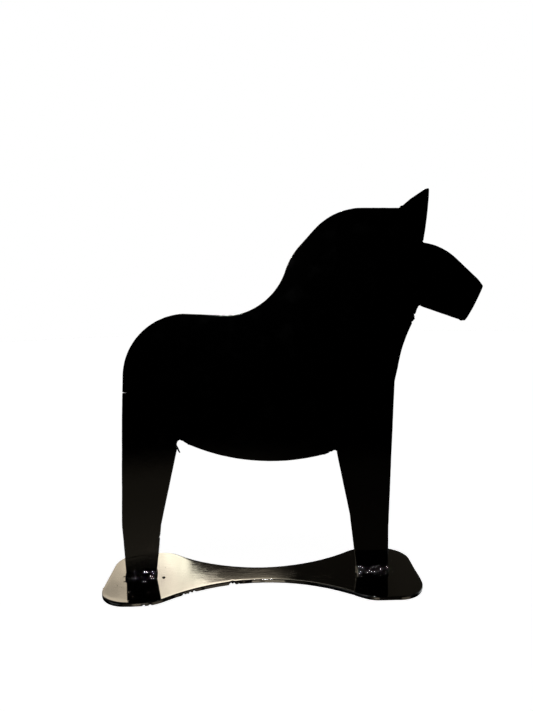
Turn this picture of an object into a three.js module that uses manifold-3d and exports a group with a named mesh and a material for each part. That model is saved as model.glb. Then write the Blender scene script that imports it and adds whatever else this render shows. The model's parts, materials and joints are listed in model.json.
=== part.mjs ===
// A flat steel horse on a waisted base plate.
//
// The horse is one silhouette cut from steel plate. It stands on edge along the middle line of a
// second flat plate, the base, and a short fillet weld on each side holds each foot to it.
//
// Millimetres. +X points the way the horse faces, +Y away from its near side, +Z up.
// The origin is the middle of the base plate's underside.

import * as THREE from 'three';
import { mergeVertices } from 'three/addons/utils/BufferGeometryUtils.js';
import Module from 'manifold-3d';

const wasm = await Module();
wasm.setup();

// ---- Driving dimensions ----

const plateThickness = 3;        // horse and base are cut from the same sheet
const rootGap = 0.3;             // clearance that keeps touching pieces separate solids

const baseLength = 250;
const baseWidth = 78.4;
const waistWidth = 19.2;         // the base at its narrowest, half way along
const endCornerRadius = 20.8;    // the four outer corners of the base
const lobeRadius = 24;           // where each lobe turns in toward the waist
const waistRadius = 125;         // the long hollow curve between the lobes

const baseTop = plateThickness;
const footLevel = baseTop + rootGap;

const arcSteps = 18;             // straight facets in each curved stretch

// ---- The horse's outline, as points on its edge: [along X, height Z] ----

const edge = {
  heel: [-110.9, footLevel],
  hindPastern: [-111.4, 22],
  hock: [-112.2, 46.5],
  gaskin: [-110.5, 88.6],
  buttock: [-106, 167.1],
  rump: [-91.1, 201.5],
  croup: [-58.4, 216.2],
  withers: [-19.2, 214],
  neckHollow: [4.2, 223],
  neckBend: [22.6, 246.1],
  neckRise: [27.9, 258],
  maneFoot: [35.6, 267.8],
  maneRise: [46.4, 279.3],
  mane: [63, 290.3],
  maneTop: [82.6, 293.8],
  poll: [110.4, 293.2],
  earBack: [112.4, 294.3],
  earBackBend: [119.5, 300.2],
  earTipBack: [129.6, 306.7],
  earTip: [132.4, 307.5],
  earTipFront: [132.4, 304.6],
  earFront: [131.1, 287.5],
  earRoot: [128.8, 270.8],
  brow: [128.5, 267.8],
  browTop: [129.3, 266.8],
  forehead: [142.8, 262.5],
  noseTop: [154.1, 254.6],
  nose: [171.4, 238.3],
  noseTip: [175.2, 233.4],
  nostril: [174.1, 230.3],
  muzzle: [169.4, 220.2],
  lip: [163.9, 210.1],
  lipCorner: [161.8, 207.3],
  chin: [160, 207.5],
  jaw: [130.2, 218.4],
  throat: [126.7, 220.1],
  throatBack: [124.6, 218.6],
  neckFront: [121.5, 208.2],
  breast: [114.1, 190.6],
  breastPoint: [109.6, 171.6],
  breastFoot: [107.1, 160.3],
  forearm: [105, 106.6],
  foreCannon: [102.7, 41.4],
  toe: [102.4, footLevel],
  foreHeel: [77.9, footLevel],
  foreBackBend: [72.5, 51.3],
  elbow: [62.3, 103],
  foreNotch: [60.7, 105.8],
  foreNotchEnd: [57.7, 105],
  bellyFront: [54.9, 103.7],
  bellyFore: [25.9, 98.6],
  belly: [-2.4, 98.7],
  bellyHind: [-31.8, 104],
  bellyBack: [-55.4, 112.7],
  hindNotchStart: [-63.5, 117.3],
  hindNotch: [-65.3, 116],
  stifle: [-66.4, 110],
  hindFrontBend: [-82.1, 45.7],
  hindPasternFront: [-85.1, 21.4],
  hindToe: [-87.6, footLevel],
};

// ---- Welds: each is a row of overlapping puddles laid in the corner of foot and base ----

const weldReachUp = 6.8;         // how far a puddle climbs the horse plate
const weldReachOut = { hind_foot: 6.2, fore_foot: 5.2 };   // how far it runs out over the base
const puddleHalfLength = 3.6;
const puddleCount = 6;
const puddleUnevenness = 0.09;   // share by which one puddle is larger or smaller than the next
const weldOverrun = 1.6;         // how far a weld runs past the edge of the leg

const feet = {
  hind_foot: [edge.heel[0], edge.hindToe[0]],
  fore_foot: [edge.foreHeel[0], edge.toe[0]],
};
const sides = { front: -1, back: 1 };

// ---- Materials ----

const enamel = { color: 0x050505, roughness: 0.18, metalness: 0 };
const weldEnamel = { color: 0x0a0908, roughness: 0.3, metalness: 0 };

// ---- Outline drawing ----

// Draws an outline with straight lines, and with arcs given by a point on the way and an end.
class Outline {
  constructor(start) {
    this.points = [new THREE.Vector2(...start)];
  }

  line(end) {
    this.points.push(new THREE.Vector2(...end));
    return this;
  }

  arc(middle, end) {
    const start = this.points.at(-1);
    const [a, b] = [new THREE.Vector2(...middle).sub(start), new THREE.Vector2(...end).sub(start)];
    const cross = a.cross(b);
    const centre = new THREE.Vector2(
      (b.y * a.lengthSq() - a.y * b.lengthSq()) / (2 * cross),
      (a.x * b.lengthSq() - b.x * a.lengthSq()) / (2 * cross),
    );
    const fromCentre = (point) => Math.atan2(point.y - centre.y, point.x - centre.x);
    const curve = new THREE.ArcCurve(
      0, 0, centre.length(),
      fromCentre(new THREE.Vector2()), fromCentre(b), cross < 0,
    );
    const onTheWay = curve.getPoints(arcSteps).slice(1, -1);
    this.points.push(...onTheWay.map((point) => point.add(centre).add(start)));
    return this.line(end);
  }
}

function plateFrom(outline) {
  const shape = new THREE.Shape(outline.points);
  return new THREE.ExtrudeGeometry(shape, { depth: plateThickness, bevelEnabled: false });
}

// ---- The horse plate ----

function horseOutline() {
  return new Outline(edge.heel)
    .line(edge.hindPastern)
    .line(edge.hock)
    .line(edge.gaskin)
    .line(edge.buttock)
    .arc(edge.rump, edge.croup)
    .line(edge.withers)
    .arc(edge.neckHollow, edge.neckBend)
    .arc(edge.neckRise, edge.maneFoot)
    .line(edge.maneRise)
    .arc(edge.mane, edge.maneTop)
    .line(edge.poll)
    .line(edge.earBack)
    .line(edge.earBackBend)
    .line(edge.earTipBack)
    .line(edge.earTip)
    .line(edge.earTipFront)
    .arc(edge.earFront, edge.earRoot)
    .line(edge.brow)
    .line(edge.browTop)
    .arc(edge.forehead, edge.noseTop)
    .line(edge.nose)
    .line(edge.noseTip)
    .line(edge.nostril)
    .arc(edge.muzzle, edge.lip)
    .line(edge.lipCorner)
    .line(edge.chin)
    .line(edge.jaw)
    .line(edge.throat)
    .line(edge.throatBack)
    .line(edge.neckFront)
    .arc(edge.breast, edge.breastPoint)
    .line(edge.breastFoot)
    .line(edge.forearm)
    .line(edge.foreCannon)
    .line(edge.toe)
    .line(edge.foreHeel)
    .line(edge.foreBackBend)
    .line(edge.elbow)
    .arc(edge.foreNotch, edge.foreNotchEnd)
    .line(edge.bellyFront)
    .arc(edge.bellyFore, edge.belly)
    .arc(edge.bellyHind, edge.bellyBack)
    .line(edge.hindNotchStart)
    .arc(edge.hindNotch, edge.stifle)
    .line(edge.hindFrontBend)
    .line(edge.hindPasternFront)
    .line(edge.hindToe);
}

function makeHorsePlate() {
  const plate = new THREE.Mesh(plateFrom(horseOutline()), new THREE.MeshStandardMaterial(enamel));
  plate.name = 'horse_plate';
  plate.rotation.x = Math.PI / 2;
  plate.position.y = plateThickness / 2;
  return plate;
}

// ---- The base plate ----

function baseOutline() {
  const [halfLength, halfWidth] = [baseLength / 2, baseWidth / 2];
  const diagonal = Math.SQRT1_2;

  // The lobe's arc and the waist's arc touch on the line that joins their centres.
  const lobeY = halfWidth - lobeRadius;
  const waistY = waistWidth / 2 + waistRadius;
  const lobeX = Math.sqrt((lobeRadius + waistRadius) ** 2 - (waistY - lobeY) ** 2);
  const share = lobeRadius / (lobeRadius + waistRadius);
  const touch = [lobeX * (1 - share), lobeY + (waistY - lobeY) * share];
  const lobeTurn = (Math.PI / 2 + Math.atan2(touch[1] - lobeY, touch[0] - lobeX)) / 2;
  const lobeMiddle = [
    lobeX + lobeRadius * Math.cos(lobeTurn), lobeY + lobeRadius * Math.sin(lobeTurn),
  ];
  const cornerX = halfLength - endCornerRadius;
  const cornerY = halfWidth - endCornerRadius;
  const cornerMiddle = [cornerX + endCornerRadius * diagonal, cornerY + endCornerRadius * diagonal];

  const at = ([x, y], alongX, alongY) => [x * alongX, y * alongY];
  const outline = new Outline([halfLength, -cornerY]);
  outline.line([halfLength, cornerY]).arc(cornerMiddle, [cornerX, halfWidth]);
  outline.line([lobeX, halfWidth]).arc(lobeMiddle, touch);
  outline.arc([0, waistWidth / 2], at(touch, -1, 1));
  outline.arc(at(lobeMiddle, -1, 1), [-lobeX, halfWidth]);
  outline.line([-cornerX, halfWidth]).arc(at(cornerMiddle, -1, 1), [-halfLength, cornerY]);
  outline.line([-halfLength, -cornerY]).arc(at(cornerMiddle, -1, -1), [-cornerX, -halfWidth]);
  outline.line([-lobeX, -halfWidth]).arc(at(lobeMiddle, -1, -1), at(touch, -1, -1));
  outline.arc([0, -waistWidth / 2], at(touch, 1, -1));
  outline.arc(at(lobeMiddle, 1, -1), [lobeX, -halfWidth]);
  const lastCorner = new Outline([cornerX, -halfWidth]);
  lastCorner.arc(at(cornerMiddle, 1, -1), [halfLength, -cornerY]);
  outline.points.push(...lastCorner.points.slice(0, -1));
  return outline;
}

function makeBasePlate() {
  const plate = new THREE.Mesh(plateFrom(baseOutline()), new THREE.MeshStandardMaterial(enamel));
  plate.name = 'base_plate';
  return plate;
}

// ---- The welds ----

function toSolid(geometry) {
  const bare = geometry.clone();
  bare.deleteAttribute('normal');
  bare.deleteAttribute('uv');
  const merged = mergeVertices(bare);
  const mesh = new wasm.Mesh({
    numProp: 3,
    vertProperties: new Float32Array(merged.attributes.position.array),
    triVerts: new Uint32Array(merged.index.array),
  });
  return new wasm.Manifold(mesh);
}

function toGeometry(solid) {
  const mesh = solid.getMesh();
  const geometry = new THREE.BufferGeometry();
  geometry.setAttribute('position', new THREE.BufferAttribute(mesh.vertProperties, 3));
  geometry.setIndex(new THREE.BufferAttribute(mesh.triVerts, 1));
  geometry.computeVertexNormals();
  return geometry;
}

function makePuddle(foot, x, side, size) {
  const puddle = new THREE.SphereGeometry(1, 20, 14);
  puddle.scale(puddleHalfLength * size, weldReachOut[foot] * size, weldReachUp * size);
  puddle.translate(x, side * plateThickness / 2, baseTop);
  return toSolid(puddle);
}

// The corner between the plate's face and the base's top, where a weld may lie.
function makeWeldRoom(side) {
  const room = 100;
  const box = new THREE.BoxGeometry(2 * baseLength, room, room);
  box.translate(0, side * (plateThickness / 2 + rootGap + room / 2), footLevel + room / 2);
  return toSolid(box);
}

function makeWeld(foot, sideName) {
  const [legStart, legEnd] = feet[foot];
  const side = sides[sideName];
  const first = legStart - weldOverrun + puddleHalfLength;
  const last = legEnd + weldOverrun - puddleHalfLength;
  let solid = null;
  for (let i = 0; i < puddleCount; i += 1) {
    const x = THREE.MathUtils.lerp(first, last, i / (puddleCount - 1));
    const size = 1 + puddleUnevenness * Math.sin(2.4 * i + legStart * side);
    const puddle = makePuddle(foot, x, side, size);
    solid = solid ? solid.add(puddle) : puddle;
  }
  const geometry = toGeometry(solid.intersect(makeWeldRoom(side)));
  const weld = new THREE.Mesh(geometry, new THREE.MeshStandardMaterial(weldEnamel));
  weld.name = `${foot}_weld_${sideName}`;
  return weld;
}

// ---- The whole horse ----

const horse = new THREE.Group();
horse.add(makeBasePlate(), makeHorsePlate());
for (const foot of Object.keys(feet)) {
  for (const sideName of Object.keys(sides)) {
    horse.add(makeWeld(foot, sideName));
  }
}

export default horse;
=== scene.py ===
# %% [markdown]
# # A horse cut from steel plate
#
# The real object is two flat pieces of 3 mm steel, cut with a torch, welded together and brushed
# with gloss black enamel. The horse is a silhouette that stands on edge. The base is a plate with
# a narrow waist. We keep every size from the CAD model and give each piece what a real one has:
# rounded paint edges, the marks of the cut, lumpy weld metal, spatter, and a deep glossy finish.
#
# The script is a row of small steps. Each one says what the real thing is, how it could be made
# in Blender, and why it is made this way.

# %% Load the CAD model as a fixed frame
import json
import math
import random

import bmesh
import bpy
from mathutils import Matrix, Vector, noise

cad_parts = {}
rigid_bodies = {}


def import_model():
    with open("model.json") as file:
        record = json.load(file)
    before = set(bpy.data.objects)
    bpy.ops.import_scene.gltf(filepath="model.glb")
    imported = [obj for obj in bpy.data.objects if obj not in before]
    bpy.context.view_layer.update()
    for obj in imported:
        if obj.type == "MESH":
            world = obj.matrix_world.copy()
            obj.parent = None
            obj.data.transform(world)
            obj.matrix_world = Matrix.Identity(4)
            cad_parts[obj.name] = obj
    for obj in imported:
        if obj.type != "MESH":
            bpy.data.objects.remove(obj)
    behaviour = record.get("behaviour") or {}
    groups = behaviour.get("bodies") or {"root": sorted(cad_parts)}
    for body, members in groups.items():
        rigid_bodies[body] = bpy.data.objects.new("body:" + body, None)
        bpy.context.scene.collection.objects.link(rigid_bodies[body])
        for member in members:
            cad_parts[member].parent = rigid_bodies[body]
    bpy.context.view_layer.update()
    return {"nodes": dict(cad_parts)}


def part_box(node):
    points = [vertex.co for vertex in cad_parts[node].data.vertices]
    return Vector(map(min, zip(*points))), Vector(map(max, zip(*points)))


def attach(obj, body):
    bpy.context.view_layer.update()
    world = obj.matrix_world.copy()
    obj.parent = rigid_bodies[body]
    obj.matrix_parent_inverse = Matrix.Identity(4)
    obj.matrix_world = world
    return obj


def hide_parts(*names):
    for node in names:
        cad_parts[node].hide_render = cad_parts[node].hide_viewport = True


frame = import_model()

MM = 0.001
print("CAD nodes:", ", ".join(sorted(frame["nodes"])))

# %% [markdown]
# ## The camera
#
# A camera is a place, a direction and a lens. This one stands about 43 cm away and a little above
# the horse's back, and looks slightly down, as a person holding a phone would. The rotation is
# built from three plain turns, so each can be changed on its own: first the turn about the
# vertical, then the tilt, then the small roll of a camera that is held by hand.

# %% Camera
EYE = Vector((5.5, -425.7, 229.7)) * MM
TURN, TILT, ROLL = 0.247, 6.367, 1.179     # degrees: to the right, down, clockwise
LENS, SENSOR = 27.62, 36.0                 # millimetres of an ordinary camera
NUDGE = 1 / 1422                           # share of the frame that the view is set off centre


def turned(degrees, axis):
    return Matrix.Rotation(math.radians(degrees), 4, axis)


lens = bpy.data.cameras.new("camera")
lens.lens, lens.sensor_width = LENS, SENSOR
lens.shift_x, lens.shift_y = -NUDGE, NUDGE
lens.clip_start = 0.01
camera = bpy.data.objects.new("camera", lens)
camera.matrix_world = (
    Matrix.Translation(EYE) @ turned(-TURN, "Z") @ turned(90 - TILT, "X") @ turned(-ROLL, "Z")
)
bpy.context.scene.collection.objects.link(camera)
bpy.context.scene.camera = camera
print("camera stands", round(EYE.length / MM), "mm from the middle of the base")

# %% [markdown]
# ## Shader maths as ordinary Python
#
# A material is a graph of nodes, and long formulas are hard to read as a graph. So one small
# class wraps a node's output and answers to `+`, `-` and `*`: writing `1 - mask` adds the Math
# node that does it. `rise` is a soft step from 0 to 1 between two values. A second class holds a
# node tree, with a single method that adds any node: its type, its settings, and then what goes
# into its sockets.

# %% Wrappers for shader maths and node trees
class Shade:
    """A number that varies over a surface or over directions."""

    def __init__(self, nodes, socket):
        self.nodes, self.socket = nodes, socket

    def maths(self, operation, first, second=0.0):
        node = self.nodes.add("ShaderNodeMath", {"operation": operation}, {0: first, 1: second})
        return Shade(self.nodes, node.outputs[0])

    def __add__(self, other):
        return self.maths("ADD", self, other)

    def __sub__(self, other):
        return self.maths("SUBTRACT", self, other)

    def __rsub__(self, other):
        return self.maths("SUBTRACT", other, self)

    def __mul__(self, other):
        return self.maths("MULTIPLY", self, other)

    __radd__, __rmul__ = __add__, __mul__

    def size(self):
        return self.maths("ABSOLUTE", self)

    def rise(self, start, end):
        """0 before start, 1 past end, with a smooth S between. start may be above end."""
        node = self.nodes.add(
            "ShaderNodeMapRange",
            {"interpolation_type": "SMOOTHSTEP"},
            {"Value": self, "From Min": start, "From Max": end},
        )
        return Shade(self.nodes, node.outputs[0])


class Nodes:
    """A node tree that starts empty."""

    def __init__(self, owner):
        owner.use_nodes = True
        self.tree = owner.node_tree
        self.tree.nodes.clear()

    def add(self, kind, settings=None, sockets=None):
        node = self.tree.nodes.new(kind)
        for name, value in (settings or {}).items():
            setattr(node, name, value)
        for name, value in (sockets or {}).items():
            socket = node.inputs[name]
            source = value.socket if isinstance(value, Shade) else value
            if isinstance(source, bpy.types.NodeSocket):
                self.tree.links.new(source, socket)
            else:
                socket.default_value = source
        return node

    def shade(self, node, output=0):
        return Shade(self, node.outputs[output])

    def split(self, vector):
        """The X, Y and Z of a vector socket, each as a Shade."""
        node = self.add("ShaderNodeSeparateXYZ", None, {0: vector})
        return [self.shade(node, part) for part in range(3)]

    def blend(self, factor, first, second):
        """A colour that goes from first to second."""
        node = self.add(
            "ShaderNodeMix", {"data_type": "RGBA"}, {0: factor, 6: first, 7: second}
        )
        return node.outputs[2]

    def noise(self, place, scale, detail, rough=0.5):
        """Cloudy noise from 0 to 1. scale is in features per unit of place."""
        return self.shade(self.add("ShaderNodeTexNoise", None, {
            "Vector": place, "Scale": scale, "Detail": detail, "Roughness": rough,
        }))


print("Shade answers to:", [name for name in vars(Shade) if name.strip("_") in ("add", "sub", "mul")])

# %% [markdown]
# ## The studio
#
# Gloss black has almost no colour of its own: what we see on it is the room. So the room is the
# most important part of the finish. The world here is seen only by reflections. It is a function
# of direction, made of soft-edged panels of light, each given by the compass turn and the height
# above the horizon between which it lies.
#
# A wide cream panel stands behind the horse on the left: it is what makes the left end of the
# base bright. Its right edge leans, so the bright patch ends in a slanted line. A fainter glow
# beside it greys the base's waist. Everything else behind is a dim, warm room.

# %% Directions and windows
def directions(nodes):
    """A ray's direction, its turns in degrees from behind and from in front, and its height."""
    ray = nodes.add("ShaderNodeTexCoord").outputs["Generated"]
    x, y, z = nodes.split(ray)
    degrees = math.degrees(1)
    turn = x.maths("ARCTAN2", x, y) * degrees             # 0 straight behind, + to the head
    front_turn = x.maths("ARCTAN2", x, 0 - y) * degrees   # 0 straight in front, + to the head
    height = x.maths("ARCSINE", z) * degrees              # 0 level, 90 straight up
    return ray, turn, front_turn, height


def window(value, up, down):
    """1 inside and 0 outside: it rises over the pair up and falls over the pair down."""
    return value.rise(*up) * value.rise(down[1], down[0])


print("one radian is", round(math.degrees(1), 1), "degrees")

# %% What stands behind the horse
PANEL_LIGHT, PANEL_EDGE = 8.2, (-8.3, -9.0)     # brightness, and the turns where its side fades
LEAN_START, LEAN = 27.0, 1.3                    # the side leans over above this height
PANEL_TOP = (32, 37)                            # heights where the panel and its glow fade out
ROOM_LIGHT = 0.031


def cream_panel(nodes, ray, turn, height):
    """The bright panel. It dims toward the left, and clouds keep it from being one flat colour."""
    clouds = nodes.noise(ray, 60.0, 7.0, 0.75)
    above = height - LEAN_START
    above = above.maths("MAXIMUM", above, 0.0)
    lean = turn - LEAN * above.maths("POWER", above, LEAN)
    panel = lean.rise(*PANEL_EDGE) * turn.rise(-75, -55) * window(height, (8, 20), PANEL_TOP)
    fade = 0.36 + 0.64 * turn.rise(-17.0, -10.0)
    fade = fade * (1.1 - 0.3 * height.rise(26.4, 28.9) * turn.rise(-7.4, -9.6))
    fade = fade * (1.0 + (0.22 - 0.42 * height.rise(26.8, 28.8)) * turn.rise(-13.0, -15.5))
    return panel * fade * PANEL_LIGHT * (0.15 + 1.7 * clouds)


def glow_and_room(turn, height):
    """The glow beside the panel, which brightens with height, and the dim room round both."""
    glow = 0.06 + 0.14 * turn.rise(-3.8, -0.8) + 1.25 * height.rise(28.0, 28.5)
    glow = glow + 2.2 * height.rise(28.5, 30.5)
    glow = glow * window(turn, (-40, -20), (-0.8, 2.8)) * window(height, (10, 24), PANEL_TOP)
    room = ROOM_LIGHT + 0.042 * window(turn, (9, 15), (30, 60)) * height.rise(5, 20)
    return glow + room * window(height, (-2, 4), (40, 50)) * turn.size().rise(120, 90)


print("the cream panel is", round(PANEL_LIGHT / ROOM_LIGHT), "times as bright as the room")

# %% [markdown]
# In front there is dark, with three warm things in it. A brown table top lies low down, and the
# legs pick it up. Lower still, two brighter patches of it light the wall of the base. A strip of
# brown wall above the table shows only in the legs' mirror images in the base. At the sides
# stand soft cool panels that only show when the camera walks round the horse.

# %% What stands in front and at the sides
PATCH_LIGHT, CORNER_LIGHT, STRIP_LIGHT = 7.0, 1.2, 2.2
SIDE_PANELS = (              # turns, heights, softness in degrees, brightness
    ((26, 75), (-42, -4), 8.0, 1.3),
    ((112, 146), (14, 34), 6.0, 0.7),
    ((76, 104), (-8, 12), 6.0, 2.5),
    ((-112, -72), (-2, 16), 6.0, 0.25),
)
NEAR_PANEL = ((-75, -36), (-22, -6), 5.0, 1.3)   # its turns are from in front


def table_and_wall(turn, height):
    """The table top, nearer the tail, the patches of it close by, and the strip of wall."""
    table = height.rise(-15.0, -19.0) * (0.14 + 0.1 * height.rise(-19, -26))
    table = table * (0.15 + 0.85 * turn.rise(6.0, -9.0)) * turn.size().rise(30, 22)
    patch = window(turn, (-16, -11), (3, 7)) * height.rise(-30.1, -29.3) * PATCH_LIGHT
    patch = patch + window(turn, (16, 24), (48, 60)) * CORNER_LIGHT
    strip = window(turn, (-26, -20), (-7, -3)) * window(height, (22.0, 23.2), (25.85, 26.05))
    return table + patch * height.rise(-26.8, -28.4) + strip * STRIP_LIGHT


def soft_panel(turn, height, sides, ends, soft, light):
    """A panel between two turns and two heights that falls to 0 over soft degrees each way."""
    (left, right), (low, high) = sides, ends
    across = window(turn, (left - soft, left + soft), (right - soft, right + soft))
    return light * across * window(height, (low - soft, low + soft), (high - soft, high + soft))


print("side panels:", len(SIDE_PANELS) + 1)

# %% World of light panels
ROSE, STRAW, TAN = (1.0, 0.88, 0.70, 1), (1.0, 0.94, 0.73, 1), (1.0, 0.85, 0.64, 1)
BROWN, COOL_WHITE = (1.0, 0.86, 0.64, 1), (0.96, 0.98, 1.0, 1)


def build_world():
    world = bpy.data.worlds.new("studio")
    bpy.context.scene.world = world
    nodes = Nodes(world)
    ray, turn, front_turn, height = directions(nodes)
    cream = cream_panel(nodes, ray, turn, height)
    warm = glow_and_room(turn, height) + table_and_wall(front_turn, height)
    cool = soft_panel(front_turn, height, *NEAR_PANEL)
    for panel in SIDE_PANELS:
        cool = cool + soft_panel(turn, height, *panel)
    folds = nodes.noise(ray, 13.0, 2.0).rise(0.4, 0.6)
    creamy = nodes.blend(turn.rise(-11.5, -14.5), nodes.blend(folds, ROSE, STRAW), TAN)
    lights = [
        nodes.add("ShaderNodeBackground", None, {"Color": colour, "Strength": strength})
        for colour, strength in ((creamy, cream), (BROWN, warm), (COOL_WHITE, cool))
    ]
    total = lights[0]
    for light in lights[1:]:
        total = nodes.add("ShaderNodeAddShader", None, {0: total.outputs[0], 1: light.outputs[0]})
    nodes.add("ShaderNodeOutputWorld", None, {"Surface": total.outputs[0]})
    seen = world.cycles_visibility
    seen.camera = seen.diffuse = seen.transmission = seen.scatter = False
    seen.glossy = True
    print("world has", len(nodes.tree.nodes), "nodes")


build_world()

# %% [markdown]
# ## Backdrop, floor and lamps
#
# The floor is pale and plain. Most of its brightness is its own, so it stays even, and a smaller
# part answers to the light above, so the base still leaves a soft contact shadow. Floor and
# backdrop are hidden from reflections, which see only the world above. Two small bright lamps
# give the sparks on the welds. They are kept off the floor, so they cast no hard shadows there.

# %% Backdrop and floor
REACH = 3.0                                # metres of floor around the horse
AROUND, ROWS = 48, 12                      # corners of the dome's rings, and rings
FLOOR_GAP = 0.05 * MM                      # the floor lies this far under the base


def mesh_object(name, mesh):
    """A new object in the scene that holds what the bmesh holds now."""
    data = bpy.data.meshes.new(name)
    mesh.to_mesh(data)
    thing = bpy.data.objects.new(name, data)
    bpy.context.scene.collection.objects.link(thing)
    return thing


def circle(radius, height, around):
    """Places round a level circle."""
    for i in range(around):
        a = math.tau * i / around
        yield Vector((radius * math.cos(a), radius * math.sin(a), height))


def show_only_to(thing, camera=False, diffuse=False, glossy=False):
    thing.visible_camera, thing.visible_diffuse, thing.visible_glossy = camera, diffuse, glossy
    thing.visible_transmission = thing.visible_volume_scatter = thing.visible_shadow = False


def glow_material(name, own_light, answer):
    """A white that gives own_light by itself and reflects the share answer of what reaches it."""
    material = bpy.data.materials.new(name)
    nodes = Nodes(material)
    glow = nodes.add("ShaderNodeEmission", None, {"Strength": own_light})
    matt = nodes.add("ShaderNodeBsdfDiffuse", None, {"Color": (answer, answer, answer, 1)})
    both = nodes.add("ShaderNodeAddShader", None, {0: glow.outputs[0], 1: matt.outputs[0]})
    nodes.add("ShaderNodeOutputMaterial", None, {"Surface": both.outputs[0]})
    return material


def build_backdrop():
    """A disc for the floor, and a dome over it made of rings that shrink as they climb."""
    mesh = bmesh.new()
    ring = [mesh.verts.new(place) for place in circle(REACH, 0, AROUND)]
    disc = mesh.faces.new(ring)
    floor = mesh_object("floor", mesh)
    mesh.faces.remove(disc)
    for row in range(1, ROWS):
        rise = math.pi / 2 * row / ROWS
        places = circle(REACH * math.cos(rise), REACH * math.sin(rise), AROUND)
        upper = [mesh.verts.new(place) for place in places]
        for i in range(AROUND):
            mesh.faces.new((ring[i], ring[i - 1], upper[i - 1], upper[i]))
        ring = upper
    mesh.faces.new(ring)
    dome = mesh_object("backdrop", mesh)
    mesh.free()
    floor.data.materials.append(glow_material("pale floor", 0.94, 0.8))
    dome.data.materials.append(glow_material("white backdrop", 1.0, 0.0))
    for thing in (floor, dome):
        show_only_to(thing, camera=True)
    floor.location.z = -FLOOR_GAP
    print("dome has", len(dome.data.polygons), "faces and reaches", REACH, "m")


build_backdrop()

# %% Lamps
SPARK_RADIUS, SPARK_DISTANCE, SPARK_WATTS = 0.03, 1.6, 14.0   # metres, metres, watts
CEILING_LIGHT, CEILING_SPREAD = 0.28, 70                      # strength, degrees across


def add_spark(name, turn, height):
    """A small round lamp that looks at the horse and shows only in reflections.
    turn 0 is straight in front, + toward the head. height is above the horizon."""
    light = bpy.data.lights.new(name, "AREA")
    light.shape, light.size, light.energy = "DISK", 2 * SPARK_RADIUS, SPARK_WATTS
    lamp = bpy.data.objects.new(name, light)
    a, e = math.radians(turn), math.radians(height)
    away = Vector((math.sin(a) * math.cos(e), -math.cos(a) * math.cos(e), math.sin(e)))
    lamp.location = away * SPARK_DISTANCE
    lamp.rotation_euler = away.to_track_quat("Z", "Y").to_euler()
    bpy.context.scene.collection.objects.link(lamp)
    show_only_to(lamp, glossy=True)


sky = bpy.data.lights.new("ceiling", "SUN")
sky.energy, sky.angle = CEILING_LIGHT, math.radians(CEILING_SPREAD)
ceiling = bpy.data.objects.new("ceiling", sky)
bpy.context.scene.collection.objects.link(ceiling)
show_only_to(ceiling, diffuse=True)
add_spark("ceiling_spark", -5, 66)
add_spark("front_spark", -5, 18)

view = bpy.context.scene.view_settings
view.view_transform, view.look, view.exposure, view.gamma = "Standard", "None", 0.0, 1.0

# %% [markdown]
# ## Reading an outline from the CAD plate
#
# Both plates are outlines with a thickness, and the CAD model already holds the outlines. So we
# read them from there instead of typing them again. The rim of the flat front face is every edge
# that only one of its faces uses. Walking from corner to corner along the rim gives the loop.

# %% Outline of a flat face
ALMOST_STRAIGHT = 0.99                     # cosine of the most that a flat face's normal leans
SAME_PLACE = 0.001 * MM                    # corners nearer than this are one corner


def flat_face_outline(node, axis, side):
    """The rim of the face of a CAD plate that looks along axis, as a loop of 2-D points."""
    plane = [a for a in range(3) if a != axis]
    mesh = bmesh.new()
    mesh.from_mesh(frame["nodes"][node].data)
    bmesh.ops.remove_doubles(mesh, verts=mesh.verts, dist=SAME_PLACE)
    mesh.normal_update()
    flat = {f for f in mesh.faces if f.normal[axis] * side > ALMOST_STRAIGHT}
    after = {}
    for face in flat:
        for corner in face.loops:
            if sum(f in flat for f in corner.edge.link_faces) == 1:
                after[corner.vert.index] = corner.link_loop_next.vert.index
    mesh.verts.ensure_lookup_table()
    start = here = next(iter(after))
    loop = []
    while True:
        loop.append(Vector([mesh.verts[here].co[a] for a in plane]))
        here = after[here]
        if here == start:
            break
    mesh.free()
    if area_of(loop) < 0:
        loop.reverse()
    return loop


def area_of(loop):
    return sum(a.cross(b) for a, b in zip(loop, loop[1:] + loop[:1])) / 2


horse_rim = flat_face_outline("horse_plate", 1, -1)
base_rim = flat_face_outline("base_plate", 2, 1)
print("corners in the CAD outlines: horse", len(horse_rim), "base", len(base_rim))

# %% [markdown]
# ## From a clean outline to a cut one
#
# A torch never follows a drawn line exactly. It wanders a little, leaves small nicks and burrs
# where it was slow, and rounds every corner by about the width of its flame. So the loop is
# first laid out again in short even steps, then smoothed a little, which rounds the corners, and
# then each point is moved in or out by a slow wander plus the marks that we name.
#
# The wander comes from Blender's own noise, which gives the same value for the same place every
# time, so the piece is the same on each run.

# %% Even steps, smoothing and wander
STEP = 0.4 * MM
PAINT = 0.5 * MM                           # enamel gathers on an edge and makes it fuller
SLOW_WANDER = (22 * MM, 0.06 * MM)         # length of the waves along the edge, and their height
QUICK_WANDER = (5 * MM, 0.08 * MM)


def even_steps(rim):
    """The loop again, as points about one step apart."""
    points = []
    for a, b in zip(rim, rim[1:] + rim[:1]):
        pieces = max(1, round((b - a).length / STEP))
        points += [a.lerp(b, i / pieces) for i in range(pieces)]
    return points


def smoothed(loop, rounds):
    """The loop with each point drawn toward its two neighbours, several times over."""
    for _ in range(rounds):
        loop = [
            (loop[i - 1] + 2 * loop[i] + loop[(i + 1) % len(loop)]) / 4 for i in range(len(loop))
        ]
    return loop


def outward(loop):
    """The direction out of the plate at each point of a loop that runs anticlockwise."""
    ways = []
    for i in range(len(loop)):
        along = loop[(i + 2) % len(loop)] - loop[i - 2]
        ways.append(Vector((along.y, -along.x)).normalized())
    return ways


def wander(point, seed):
    """How far out the painted edge lies at a point of the outline."""
    out = PAINT
    for length, height in (SLOW_WANDER, QUICK_WANDER):
        out += height * noise.noise(Vector((point.x / length, point.y / length, seed)))
        seed += 5
    return out


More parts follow.
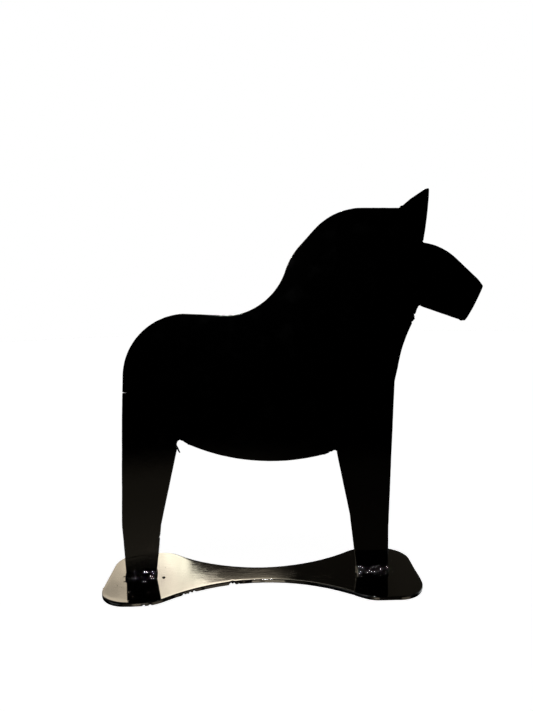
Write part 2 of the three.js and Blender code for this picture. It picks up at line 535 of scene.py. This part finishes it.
drift = [wander(p, 3) / MM for p in even_steps(horse_rim)]
print("the horse's edge wanders between", round(min(drift), 2), "and", round(max(drift), 2), "mm out")

# %% [markdown]
# ## A thick plate with a cut edge
#
# An edge cut by a torch has three things to see. The two arrises are rounded by the paint that
# gathers on them. The wall carries fine drag lines, which lean back with depth because the flame
# lags behind the torch. And the arris where the flame came out is rougher, with small chips.
#
# One could extrude the outline and put a Bevel modifier on it, but the drag lines need their own
# rings of points through the thickness. So the wall is built ring by ring: each ring is the loop,
# drawn in by what the arris asks for and pushed out by the lines. The two flat faces close it. A
# Weighted Normal modifier then makes the flat faces shade flat right up to the rounded arris.

# %% Plate builder
ARRIS, ARRIS_RINGS = 0.4 * MM, 4           # radius of the painted arris, and rings round it
WALL_RINGS = 5                             # bands of the flat wall between the arrises
ROUNDING = 3                               # how often the outline is smoothed
LAG = 1.3 * MM                             # how far the drag lines lean back over the thickness
DRAG_SPACING = 0.27 * MM                   # one radian of a drag line's wave along the edge
MARK_REACH = 2.5                           # a mark ends at this many times its width


def edge_rings(thickness, crown=()):
    """(depth, how far the ring is drawn in) for each ring from the low face to the high one."""
    low = [(drop * MM, inset * MM) for inset, drop in crown]
    start = low[-1][0] if low else 0.0
    for k in range(ARRIS_RINGS + 1):
        a = math.pi / 2 * k / ARRIS_RINGS
        low.append((start + ARRIS * (1 - math.cos(a)), ARRIS * (1 - math.sin(a))))
    high = [(thickness - depth, inset) for depth, inset in reversed(low)]
    span = thickness - 2 * low[-1][0]
    middle = [(low[-1][0] + span * k / WALL_RINGS, 0.0) for k in range(1, WALL_RINGS)]
    return low + middle + high


def drag_lines(along, share, seed):
    """Ripples left by the flame, from -1 to 1. They grow and lag toward the high face."""
    stray = 2.5 * noise.noise(Vector((along / (4 * MM), seed, 0)))
    return math.sin((along - LAG * share * share) / DRAG_SPACING + stray) * (0.35 + 0.65 * share)


def mark_depth(point, share, marks):
    """The sum of the named nicks and burrs at a point of the wall. share is 0 low, 1 high."""
    total = 0.0
    for place, width, depth, reach in marks:
        distance = (point - place).length / width
        if distance < MARK_REACH:
            through = 1.0 if reach is None else max(0.0, 1 - abs(share - reach) / 0.5)
            total += depth * math.exp(-distance * distance * 2) * through
    return total


print("rings through 3 mm of plate:", len(edge_rings(3 * MM)))

# %% Slits and whole plates
SLIT = ((-0.5, 0.0), (-0.38, 0.25), (-0.33, 0.5), (-0.28, 0.8), (0.0, 1.0))
SLIT_NEAR = 5 * MM                         # edge points over the mouth and this near make way


def add_slit(loop, place, mouth, depth):
    """A narrow slit that runs straight in from the edge, put into the loop. SLIT is one side of
    it, as shares of its mouth and its depth."""
    near = min(range(len(loop)), key=lambda i: (loop[i] - place).length)
    along = (loop[(near + 3) % len(loop)] - loop[near - 3]).normalized()
    inward = Vector((-along.y, along.x))
    kept = [
        p for p in loop
        if abs((p - loop[near]).dot(along)) > mouth or (p - place).length > SLIT_NEAR
    ]
    here = next(i for i, p in enumerate(kept) if (p - loop[near]).length < 3 * mouth
                and (p - loop[near]).dot(along) > 0)
    cut = [*SLIT, *((-a, d) for a, d in reversed(SLIT[:-1]))]
    points = [loop[near] + along * (mouth * a) + inward * (depth * d) for a, d in cut]
    return kept[:here] + points + kept[here:]


def cut_plate(name, rim, low, high, lift, marks, seed, ripple, crown=(), fuller=None, slits=()):
    """A closed plate between two levels. lift turns (2-D point, level) into a place in space.
    ripple is the drag lines' height. crown and fuller shape the arris. Slits go into the loop."""
    loop = smoothed(even_steps(rim), ROUNDING)
    ways = outward(loop)
    loop = [p + w * wander(p, seed) for p, w in zip(loop, ways)]
    for slit in slits:
        loop = add_slit(loop, *slit)
    ways = outward(loop)
    thickness = high - low
    mesh = bmesh.new()
    rings = []
    for depth, inset in edge_rings(thickness, crown):
        ring, along = [], 0.0
        for i, (p, w) in enumerate(zip(loop, ways)):
            along += (p - loop[i - 1]).length if i else 0.0
            full = fuller(p) if fuller else 1.0
            share = (depth / thickness) ** full
            level = share * thickness
            out = mark_depth(p, share, marks) - inset * (1 + 0.4 * (full - 1))
            if inset == 0.0:
                out += ripple * drag_lines(along, share, seed)
            ring.append(mesh.verts.new(lift(p + w * out, low + level)))
        rings.append(ring)
    count = len(loop)
    rounded = len(crown) + ARRIS_RINGS
    for k in range(len(rings) - 1):
        for i in range(count):
            j = (i + 1) % count
            face = mesh.faces.new((rings[k][i], rings[k][j], rings[k + 1][j], rings[k + 1][i]))
            face.material_index = 1 if rounded - 1 < k < len(rings) - 1 - rounded else 0
            face.smooth = True
    for ring in (rings[0], rings[-1]):
        mesh.faces.new(ring).smooth = True
    bmesh.ops.recalc_face_normals(mesh, faces=mesh.faces)
    plate = mesh_object(name, mesh)
    mesh.free()
    flat = plate.modifiers.new("flat faces stay flat", "WEIGHTED_NORMAL")
    flat.weight = 100
    print(name, "has", count, "points round its edge and", len(plate.data.vertices), "in all")
    return plate


# %% [markdown]
# ## The horse
#
# The horse stands on edge, so its outline lies in the X-Z plane and its thickness runs along Y.
# The named marks are the places where this one differs from a perfect cut: a nick in the rump, a
# nick low on the hind leg, the ragged throat, and small beads of dross at the inner corners. Each
# is a place, a width and a depth (minus cuts in, plus stands out), all in millimetres.

# %% Cut the horse
def at(x, y):
    return Vector((x, y)) * MM


def mark(place, width, depth, reach=None):
    """A nick or a burr at the share reach of the thickness, or all through it."""
    return place, width * MM, depth * MM, reach


horse_marks = [
    mark(at(-83.2, 35.6), 1.2, -0.9),          # nick in the front of the hind leg
    mark(at(122.8, 212.2), 1.0, -1.3),         # ragged throat
    mark(at(121.9, 209.3), 0.9, 1.1),
    mark(at(120.9, 206.6), 0.9, -0.9),
    mark(at(125.0, 217.9), 1.0, 0.4),
    mark(at(112.2, 294.4), 1.2, 0.9),          # bead behind the ear
    mark(at(56.2, 104.2), 1.2, -0.7),          # step in the belly's front end
    mark(at(52.0, 102.6), 1.4, 0.35),
    mark(at(-56.5, 113.2), 1.2, 0.5),          # beads at the belly's back end
    mark(at(-61.0, 115.6), 1.0, -0.4),
    mark(at(159.4, 207.4), 1.0, 0.45),         # bead under the chin
    mark(at(-20.5, 214.4), 2.2, 0.35),         # two low spots on the back
    mark(at(-28.0, 214.8), 1.6, -0.3),
    mark(at(129.2, 268.2), 0.9, -0.5),         # the ear's inner corner
    mark(at(-108.0, 133.0), 30, 0.3),          # the buttock is a little fuller
    mark(at(-112.0, 55.0), 22, 0.25),
    mark(at(114.5, 205.0), 22, 0.2),           # and the breast
]
plate_low, plate_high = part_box("horse_plate")
base_low, base_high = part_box("base_plate")
horse = cut_plate(
    "cut_horse", horse_rim, plate_low.y, plate_high.y,
    lambda p, level: Vector((p.x, level, p.y)), horse_marks, seed=3, ripple=0.035 * MM,
    slits=[(at(-106.9, 155.4), 1.0 * MM, 4.0 * MM)],    # a slit in the rump
)

# %% [markdown]
# ## The base
#
# The base lies flat. Its loop is in the X-Y plane and its thickness runs up Z. The front edge is
# the one that shows, so that is where most of its marks are: chips low on the edge, where the
# cut broke through, and a small nib at the tail end, where the torch started and stopped. The
# upper face falls away a few hundredths of a millimetre near its rim, where the paint drew back
# as it dried. That is enough to bend the reflection there into a thin light line.

# %% Cut the base
def front_edge(x):
    """The point of the base's front edge at a distance along X, in millimetres."""
    near = [p for p in even_steps(base_rim) if abs(p.x - x * MM) < STEP and p.y < 0]
    return min(near, key=lambda p: abs(p.x - x * MM))


LOW = 0.0                                  # a mark that touches only the lower arris
base_marks = [
    mark(at(-125.0, -18.0), 1.0, 0.6),         # nib where the cut began
    mark(front_edge(-97.0), 15, 0.55),         # the lobe bulges a little here
    mark(front_edge(2.0), 24, 0.35),           # and the waist
    mark(at(0, 9.6), 30, -0.6),                # the waist's far side is slimmer
    mark(at(125.0, -12.0), 14, 0.5),
    mark(at(104.0, 39.2), 10, 0.45),
    mark(front_edge(-89.2), 1.1, -3.4, LOW),   # chips low on the front edge
    mark(front_edge(-84.4), 1.1, -2.7, LOW),
    mark(front_edge(-60.8), 1.1, -4.3, LOW),
    mark(front_edge(-58.6), 0.8, -2.4, LOW),
    mark(front_edge(-56.2), 1.2, -4.3, LOW),
    mark(front_edge(-53.4), 1.4, -3.4, LOW),
    mark(front_edge(-63.5), 1.0, 0.4, LOW),
    mark(front_edge(-47.0), 1.2, 0.4, LOW),
    mark(front_edge(-25.2), 1.4, -5.8, LOW),
    mark(front_edge(-22.7), 1.1, -4.6, LOW),
    mark(front_edge(-19.0), 0.8, -2.7, LOW),
    mark(front_edge(-24.0), 2.0, -1.3),        # and a bite right through
    mark(front_edge(45.0), 1.0, 0.4, LOW),
    mark(front_edge(70.0), 1.4, -0.4, LOW),
]
CROWN = ((3.2, 0.0), (1.7, 0.012), (0.9, 0.032))   # inset and drop of the face near its edge, mm


def base_fullness(point):
    """The paint lies thickest, and rounds the edge most, at the front corner by the tail."""
    return 1 + 2.6 * math.exp(-((point - at(-111.0, -37.0)).length / (11 * MM)) ** 2)


base = cut_plate(
    "cut_base", base_rim, base_low.z, base_high.z,
    lambda p, level: Vector((p.x, p.y, level)), base_marks, seed=8, ripple=0.008 * MM,
    crown=CROWN, fuller=base_fullness,
)

# %% [markdown]
# ## Weld beads
#
# Each foot is held by a fillet weld that runs along one side and turns round both ends of the
# leg. Weld metal freezes in a row of small puddles, so its surface has curved ripples about as
# far apart as the steps of the welder's hand, on top of slower lumps.
#
# A bead could be sculpted, or made of joined spheres. Here it is swept: a path runs along the
# foot's edge, and at each stop a rounded section goes from the base up to the plate. How far the
# section reaches out and up is a formula of where it is along the path, so lumps and ripples are
# just terms in it. The section also dips a little into both plates, so there is never a gap.

# %% Where the feet are
SOLE = 0.2 * MM                            # corners this close to the lowest one are on a sole


def foot_spans(rim, low):
    """The two stretches of the outline's bottom, as (start, end) along X."""
    floor_points = sorted(p.x for p in rim if p.y < low + SOLE)
    middle = (floor_points[0] + floor_points[-1]) / 2
    hind = [x for x in floor_points if x < middle]
    fore = [x for x in floor_points if x > middle]
    return {"hind": (hind[0], hind[-1]), "fore": (fore[0], fore[-1])}


feet = foot_spans(horse_rim, plate_low.z)
print("feet along X, mm:", {k: [round(x / MM, 1) for x in v] for k, v in feet.items()})

# %% The path of a bead round a foot
STOP = 0.3 * MM                            # between two sections along the bead
CORNER_STOPS, END_STOPS = 14, 5            # sections round a corner, and across the plate's edge
TUCK = 0.8 * MM                            # how far a bead runs on past the plate's middle


def foot_path(span, side):
    """(root of the weld, direction away from the leg, distance run) round one side of a foot."""
    start, end = span
    half = (plate_high.y - plate_low.y) / 2
    stops = []
    run = 0.0

    def add(x, y, degrees):
        nonlocal run
        run += STOP
        a = math.radians(degrees)
        stops.append((Vector((x, side * y, 0)), Vector((math.cos(a), side * math.sin(a), 0)), run))

    for k in range(END_STOPS):
        add(end, -TUCK + (half + TUCK) * k / END_STOPS, 0)
    for k in range(CORNER_STOPS):
        add(end, half, 90 * k / CORNER_STOPS)
    count = round((end - start) / STOP)
    for k in range(count):
        add(end + (start - end) * k / count, half, 90)
    for k in range(CORNER_STOPS):
        add(start, half, 90 + 90 * k / CORNER_STOPS)
    for k in range(END_STOPS + 1):
        add(start, half - (half + TUCK) * k / END_STOPS, 180)
    return stops


print("sections along the hind bead:", len(foot_path(feet["hind"], 1)))

# %% Sweep a bead along its path
SECTION = 18                               # steps round a section
DIP, TURN_UP = -12, 114                    # degrees where a section starts, and how far it turns
SQUARE = 1.7                               # 2 makes the section an ellipse, 1 a flat fillet
PUDDLE, CURVE = 1.55 * MM, 0.9 * MM        # from ripple to ripple, and how far each one bows
RIPPLE, LUMP, GRIT = 0.16 * MM, 0.28 * MM, 0.1 * MM   # heights, from regular to fine
UNEVEN = 0.13                              # share by which the bead swells and shrinks
OVERLAP = Vector((0.5, 0.0, -0.6)) * MM    # how far the root lies inside the horse and the base


def section_point(angle, out, up, run, spot, seed, fade):
    """(out, up) of a point of the bead's section: a rounded fillet with ripples and lumps."""
    c, s = math.cos(angle), math.sin(angle)
    round_reach = (abs(c / out) ** SQUARE + abs(s / up) ** SQUARE) ** (-1 / SQUARE)
    ripple = (run - CURVE * math.cos(2 * angle)) / PUDDLE
    ripple += 0.5 * noise.noise(Vector((run / (3 * MM), seed, 1)))
    fold = RIPPLE * (abs(math.sin(math.pi * ripple)) - 0.5)
    rough = LUMP * noise.noise(spot) + GRIT * noise.noise(spot * 2.7)
    far = round_reach + (fold + rough) * (0.35 + 0.65 * fade)
    return far * c, far * s


def round_facets(thing):
    smooth = thing.modifiers.new("round the facets", "SUBSURF")
    smooth.levels = smooth.render_levels = 1


def weld_bead(name, span, side, reach, lumps, seed):
    """reach is (out along the side, out at the ends, up). lumps are (x, width, out, up)."""
    stops = foot_path(span, side)
    top = base_high.z
    length = stops[-1][2]
    mesh = bmesh.new()
    rings = []
    for root, away, run in stops:
        ends, sides = abs(away.x), abs(away.y)
        out = 1 / math.hypot(sides / reach[0], ends / reach[1])
        up = reach[2] * (1 - 0.22 * ends)
        where = root + away * 2 * MM
        for lump_x, width, more_out, more_up in lumps:
            near = math.exp(-((where.x - lump_x) / width) ** 2)
            out, up = out + more_out * near, up + more_up * near
        taper = min(1.0, 0.5 + min(run, length - run) / (2 * MM))
        slow = noise.noise(Vector((where.x / (4 * MM), side * 3.0, seed)))
        up *= taper * (1 + UNEVEN * slow)
        out *= taper * (1 + UNEVEN * noise.noise(Vector((where.x / (3.5 * MM), 9.0, seed))))
        ring = []
        for k in range(SECTION + 1):
            angle = math.radians(DIP + TURN_UP * k / SECTION)
            spot = Vector((where.x / (1.7 * MM), k * 0.3, seed + side))
            fade = max(0.0, math.sin(math.radians(180 * k / SECTION)))
            far, tall = section_point(angle, out, up, run, spot, seed, fade)
            ring.append(mesh.verts.new(root + away * far + Vector((0, 0, top + tall))))
        inside = root - away * OVERLAP.x + Vector((0, 0, top + OVERLAP.z))
        ring.append(mesh.verts.new(inside))
        rings.append(ring)
    for a, b in zip(rings, rings[1:]):
        for k in range(len(a)):
            mesh.faces.new((a[k], a[k - 1], b[k - 1], b[k])).smooth = True
    for cap in (rings[0], rings[-1]):
        mesh.faces.new(cap)
    bmesh.ops.recalc_face_normals(mesh, faces=mesh.faces)
    bead = mesh_object(name, mesh)
    mesh.free()
    round_facets(bead)
    print(name, "runs", round(length / MM, 1), "mm in", len(rings), "stops")
    return bead


# %% Four beads
FRONT, BACK = -1, 1
hind_x, fore_x = [(a + b) / 2 for a, b in (feet["hind"], feet["fore"])]
hind_lumps = [
    (hind_x + 5.0 * MM, 4.5 * MM, 2.4 * MM, 0.3 * MM),
    (feet["hind"][1] + 1.2 * MM, 1.4 * MM, 1.5 * MM, 0.5 * MM),
]
fore_lumps = [
    (feet["fore"][0] + 3 * MM, 2.6 * MM, 0.4 * MM, 1.0 * MM),
    (fore_x - 1 * MM, 3.2 * MM, 1.1 * MM, -0.5 * MM),
    (feet["fore"][1] - 6 * MM, 2.6 * MM, -0.4 * MM, 1.3 * MM),
]
beads = {
    "hind_foot_weld_front": weld_bead(
        "bead_hind_front", feet["hind"], FRONT, (5.2 * MM, 0.7 * MM, 5.0 * MM), hind_lumps, 11),
    "hind_foot_weld_back": weld_bead(
        "bead_hind_back", feet["hind"], BACK, (5.0 * MM, 1.0 * MM, 5.6 * MM), [], 23),
    "fore_foot_weld_front": weld_bead(
        "bead_fore_front", feet["fore"], FRONT, (4.4 * MM, 0.5 * MM, 4.9 * MM), fore_lumps, 37),
    "fore_foot_weld_back": weld_bead(
        "bead_fore_back", feet["fore"], BACK, (4.9 * MM, 1.0 * MM, 5.6 * MM), [], 41),
}

# %% [markdown]
# ## Spatter
#
# A welding arc throws off tiny balls of molten steel that freeze where they land. Under paint
# they become small domes with a soft skirt. Each is a few rings of points: flat and wide at the
# foot, steep at the side, round on top. One clear drop lies beside the hind foot, and flatter
# pimples lie in front of both feet. Nearly flat caps on the welds face up and forward, and each
# shows a lamp as a spark. A seeded random scatter adds specks that only catch the light.

# %% One drop of spatter
UP = Vector((0, 0, 1))
DOME = ((1.3, -0.35), (1.27, -0.05), (1.08, 0.1), (0.98, 0.32), (0.84, 0.62), (0.6, 0.87),
        (0.3, 0.98))                       # how wide and how high, in radii, from the skirt up
DROP_SIDES, TUBE_SIDES = 16, 8
DROP_SQUASH = 0.75                         # height over radius of a drop


def facing(turn, tilt):
    """A direction tilted from straight up toward the front, turned toward the head."""
    a, t = math.radians(turn), math.radians(tilt)
    return Vector((math.sin(a) * math.sin(t), -math.cos(a) * math.sin(t), math.cos(t)))


def join_rings(mesh, rings):
    """Smooth bands between rings with as many points each, and a lid under the first."""
    for lower, upper in zip(rings, rings[1:]):
        for i in range(len(lower)):
            mesh.faces.new((lower[i - 1], lower[i], upper[i], upper[i - 1])).smooth = True
    mesh.faces.new(list(reversed(rings[0])))


def add_drop(mesh, place, radius, seed, normal=UP, squash=DROP_SQUASH):
    """One dome with a skirt, on a surface that faces along normal, closed a little below it."""
    turn = normal.to_track_quat("Z", "Y").to_matrix()
    rings = []
    for wide, tall in DOME:
        ring = []
        for spoke in circle(1, 0, DROP_SIDES):
            wobble = 1 + 0.12 * noise.noise(Vector((2 * spoke.x, 2 * spoke.y, seed)))
            flat = Vector((spoke.x * wide * wobble, spoke.y * wide * wobble, tall * squash))
            ring.append(mesh.verts.new(place + turn @ (flat * radius)))
        rings.append(ring)
    join_rings(mesh, rings)
    tip = mesh.verts.new(place + turn @ Vector((0, 0, 1.02 * squash * radius)))
    for i in range(DROP_SIDES):
        mesh.faces.new((rings[-1][i - 1], rings[-1][i], tip)).smooth = True


print("rings in a drop:", len(DOME), "with", DROP_SIDES, "points each")

# %% Spatter round each foot
PIMPLE_SQUASH, CREST_SQUASH = 0.16, 0.1    # the nearly flat ones
CREST_TILT = 43                            # degrees that a cap on a weld leans forward


def build_spatter(name, span, drops, pimples, crests, specks, seed):
    """drops and pimples are (x, y, radius) on the base, round or nearly flat. crests are
    (x, y, z, radius, turn): smooth caps on the weld that face up and forward. specks are random."""
    dice = random.Random(seed)
    mesh = bmesh.new()
    for x, y, radius in drops:
        add_drop(mesh, Vector((x * MM, y * MM, base_high.z)), radius * MM, x)
    for x, y, radius in pimples:
        add_drop(mesh, Vector((x * MM, y * MM, base_high.z)), radius * MM, x, UP, PIMPLE_SQUASH)
    for x, y, z, radius, turn in crests:
        way = facing(turn, CREST_TILT)
        add_drop(mesh, Vector((x, y, z)) * MM, radius * MM, x, way, CREST_SQUASH)
    start, end = span
    for n in range(specks):
        x = dice.uniform(start - 12 * MM, end + 12 * MM)
        y = dice.choice((-1, 1)) * dice.uniform(9 * MM, 30 * MM)
        add_drop(mesh, Vector((x, y, base_high.z)), dice.uniform(0.12, 0.3) * MM, n)
    for n in range(specks // 2):
        side = dice.choice((-1, 1))
        face = plate_low.y if side < 0 else plate_high.y
        x = dice.uniform(start + 3 * MM, end - 3 * MM)
        z = base_high.z + dice.uniform(8, 24) * MM
        add_drop(mesh, Vector((x, face, z)), dice.uniform(0.12, 0.28) * MM, n, Vector((0, side, 0)))
    spatter = mesh_object(name, mesh)
    mesh.free()
    print(name, "has", len(spatter.data.vertices), "points")
    return spatter


hind_spatter = build_spatter(
    "spatter_hind", feet["hind"],
    [(-80.4, -3.9, 1.15)],
    [(-103.3, -25.0, 0.8), (-98.5, -31.3, 0.7), (-100.4, -37.4, 0.7), (-89.2, -24.9, 0.8),
     (-89.8, -20.2, 0.7), (-83.9, -18.4, 0.8)],
    [(-96.0, -3.9, 8.4, 0.8, 10), (-94.0, -4.3, 8.4, 0.8, 10), (-89.5, -3.0, 7.9, 0.52, 10),
     (-95.3, -10.8, 3.6, 0.6, 10), (-93.7, -11.2, 3.8, 0.6, 10),
     (-90.2, -7.6, 3.5, 0.6, 10)],
    14, seed=5,
)
fore_spatter = build_spatter(
    "spatter_fore", feet["fore"],
    [(106.4, -3.4, 0.5)],
    [(75.0, -14.0, 0.6), (98.5, -22.0, 0.6)],
    [(78.7, -3.1, 8.1, 0.7, -11), (80.4, -3.4, 8.3, 0.75, -11), (94.9, -2.5, 8.4, 0.45, -12),
     (101.3, -3.2, 7.5, 0.7, -13), (88.3, -6.3, 5.2, 1.1, -12), (89.6, -6.4, 5.1, 1.1, -12),
     (91.2, -6.1, 4.9, 0.6, -12)],
    14, seed=9,
)

# %% [markdown]
# ## A spike and a whisker
#
# Where the hind leg meets the belly, the torch left a short hooked whisker of slag hanging from
# the edge. A spike of weld metal, as the wire leaves when the arc stops, points out from the hind
# bead. Each is a tube that thins along a bent line, swept by hand so that it can change width.

# %% Weld spike and dross whisker
def whisker(name, path, widths):
    """A tube along a path of places in millimetres, with a radius in millimetres at each."""
    mesh = bmesh.new()
    path = [Vector(place) * MM for place in path]
    rings = []
    for i, (place, width) in enumerate(zip(path, widths)):
        along = (path[min(i + 1, len(path) - 1)] - path[max(i - 1, 0)]).normalized()
        turn = along.to_track_quat("Z", "Y").to_matrix()
        spokes = circle(1, 0, TUBE_SIDES)
        rings.append([mesh.verts.new(place + turn @ spoke * (width * MM)) for spoke in spokes])
    join_rings(mesh, rings)
    mesh.faces.new(rings[-1])
    hair = mesh_object(name, mesh)
    mesh.free()
    round_facets(hair)
    print(name, "is", round((path[-1] - path[0]).length / MM, 1), "mm from end to end")
    return hair


spike = whisker(
    "weld_spike",
    [(-109.6, -4.4, 5.2), (-110.9, -4.9, 5.3), (-112.2, -5.2, 5.2), (-113.2, -5.3, 5.0)],
    [0.7, 0.5, 0.34, 0.14],
)
dross = whisker(
    "dross_whisker",
    [(-67.4, 0.2, 112.6), (-66.3, -0.1, 111.0), (-65.4, -0.5, 109.4), (-64.8, -0.8, 107.8),
     (-64.1, -0.9, 106.6), (-63.6, -0.7, 106.0)],
    [0.85, 0.85, 0.8, 0.75, 0.65, 0.35],
)

# %% [markdown]
# ## Gloss black enamel
#
# Brushed enamel on steel is a dark, slightly brown black under a smooth skin. Up close the skin
# is never perfectly flat: it has a soft orange peel, faint strokes that follow the brush, and
# dust that settled while it dried. Each is a bump of its own size, and together they make a
# reflection swim a little. Roughness changes too, where hands and dust have dulled the shine.
#
# The noise is read in the object's own metres, so its scale can be given in millimetres, and the
# same skin runs over every face of a piece without seams.

# %% Enamel for the flat faces
BLACK, DUSTY = (0.0005, 0.00045, 0.0004, 1), (0.0020, 0.0018, 0.0016, 1)
THIN_COAT = (0.008, 0.007, 0.006, 1)                       # where steel shows through a little
WELD_BLUE, WELD_BROWN = (0.0014, 0.0013, 0.0014, 1), (0.0042, 0.0034, 0.0028, 1)


def grain(nodes, place, feature, stretch=(1, 1, 1), detail=2.0):
    """Noise from 0 to 1 whose features are about feature metres wide, longer along stretch."""
    scale = [1 / (feature * s) for s in stretch]
    scaled = nodes.add("ShaderNodeVectorMath", {"operation": "MULTIPLY"}, {0: place, 1: scale})
    return nodes.noise(scaled.outputs[0], 1.0, detail)


def dust(nodes, place, spacing, radius):
    """1 on small round specks about spacing apart, falling to 0 at radius."""
    cells = nodes.add(
        "ShaderNodeTexVoronoi", {"feature": "F1"}, {"Vector": place, "Scale": 1 / spacing}
    )
    return nodes.shade(cells, "Distance").rise(radius / spacing, 0.2 * radius / spacing)


def new_finish(name):
    """An empty material, its nodes, and the place on the piece in metres."""
    material = bpy.data.materials.new(name)
    nodes = Nodes(material)
    return material, nodes, nodes.add("ShaderNodeTexCoord").outputs["Object"]


def varnish(nodes, colour, rough, relief, shine=0.5):
    """A clear hard skin: what every kind of enamel here ends in. relief is in metres."""
    skin = nodes.add("ShaderNodeBump", None, {"Strength": 1.0, "Distance": 1.0, "Height": relief})
    shader = nodes.add("ShaderNodeBsdfPrincipled", None, {
        "Base Color": colour, "Roughness": rough, "IOR": 1.5,
        "Specular IOR Level": shine, "Normal": skin.outputs[0],
    })
    nodes.add("ShaderNodeOutputMaterial", None, {"Surface": shader.outputs[0]})


def enamel(name, strokes, rough, bumps):
    """strokes is how the brush marks stretch along X, Y and Z. rough is (clean, how much more
    where handled). bumps are the heights of peel, swell, brush and specks, in metres."""
    material, nodes, place = new_finish(name)
    peel = grain(nodes, place, 2.6 * MM)
    swell = grain(nodes, place, 11 * MM)
    brush = grain(nodes, place, 0.9 * MM, strokes, 3.0)
    specks = dust(nodes, place, 9 * MM, 0.32 * MM)
    handled = grain(nodes, place, 16 * MM, detail=4.0).rise(0.48, 0.72)
    relief = bumps[0] * peel + bumps[1] * swell + bumps[2] * brush + bumps[3] * specks
    colour = nodes.blend(handled * 0.7 + specks * 0.3, BLACK, DUSTY)
    varnish(nodes, colour, rough[0] + rough[1] * handled + 0.12 * specks, relief)
    print(name, "has", len(nodes.tree.nodes), "nodes")
    return material


horse_enamel = enamel("horse_enamel", (1, 1, 12), (0.05, 0.03), (5e-6, 2.2e-5, 1.2e-6, 6e-6))
base_enamel = enamel("base_enamel", (16, 1, 1), (0.045, 0.04), (5e-6, 1.2e-5, 9e-6, 6e-6))

# %% [markdown]
# ## Enamel on the cut edge and on weld metal
#
# Paint runs off a rough edge and leaves a thin coat that shows the drag lines below, so the wall
# is duller and finely ribbed through its thickness. Weld metal under paint stays glossy, but its
# skin is pitted and slightly bluish-brown where the heat has been.

# %% Enamel for edges and welds
def edge_enamel(name, ribs, rough, shine, relief_scale):
    """ribs is how the fine lines stretch: long through the plate, short along its edge."""
    material, nodes, place = new_finish(name)
    lines = grain(nodes, place, 0.35 * MM, ribs, 2.0)
    crust = grain(nodes, place, 0.8 * MM, detail=4.0)
    bare = grain(nodes, place, 3 * MM, detail=5.0).rise(0.62, 0.72)
    relief = relief_scale * (1.2e-5 * lines + 2.0e-5 * crust)
    colour = nodes.blend(bare, BLACK, THIN_COAT)
    varnish(nodes, colour, rough * (0.7 + 0.6 * crust) + 0.1 * bare, relief, shine)
    return material


def weld_enamel(name):
    """Glossy, with small pits, and brownish where the heat was."""
    material, nodes, place = new_finish(name)
    scale = grain(nodes, place, 0.7 * MM, detail=4.0)
    pits = dust(nodes, place, 1.9 * MM, 0.35 * MM)
    heat = grain(nodes, place, 5 * MM, detail=3.0).rise(0.4, 0.65)
    tint = nodes.blend(heat, WELD_BLUE, WELD_BROWN)
    varnish(nodes, tint, 0.03 + 0.03 * scale + 0.03 * pits, 4e-6 * scale - 1.2e-5 * pits)
    return material


horse_edge = edge_enamel("horse_edge_enamel", (1, 7, 1), 0.7, 0.1, 1.0)
base_edge = edge_enamel("base_edge_enamel", (1, 1, 7), 0.1, 0.5, 0.35)
bead_enamel = weld_enamel("weld_enamel")
for piece, face, wall in ((horse, horse_enamel, horse_edge), (base, base_enamel, base_edge)):
    piece.data.materials.append(face)
    piece.data.materials.append(wall)
for piece in (*beads.values(), hind_spatter, fore_spatter, spike, dross):
    piece.data.materials.append(bead_enamel)
print("materials:", [m.name for m in bpy.data.materials if m.users])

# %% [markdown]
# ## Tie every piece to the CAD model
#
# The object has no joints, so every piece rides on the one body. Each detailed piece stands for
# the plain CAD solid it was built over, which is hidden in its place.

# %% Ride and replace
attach(horse, "root")
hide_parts("horse_plate")
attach(base, "root")
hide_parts("base_plate")
for node, bead in beads.items():
    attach(bead, "root")
    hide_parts(node)
extras = (hind_spatter, fore_spatter, spike, dross)
for extra in extras:
    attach(extra, "root")
print("pieces tied to the one body:", 2 + len(beads) + len(extras))

# %% [markdown]
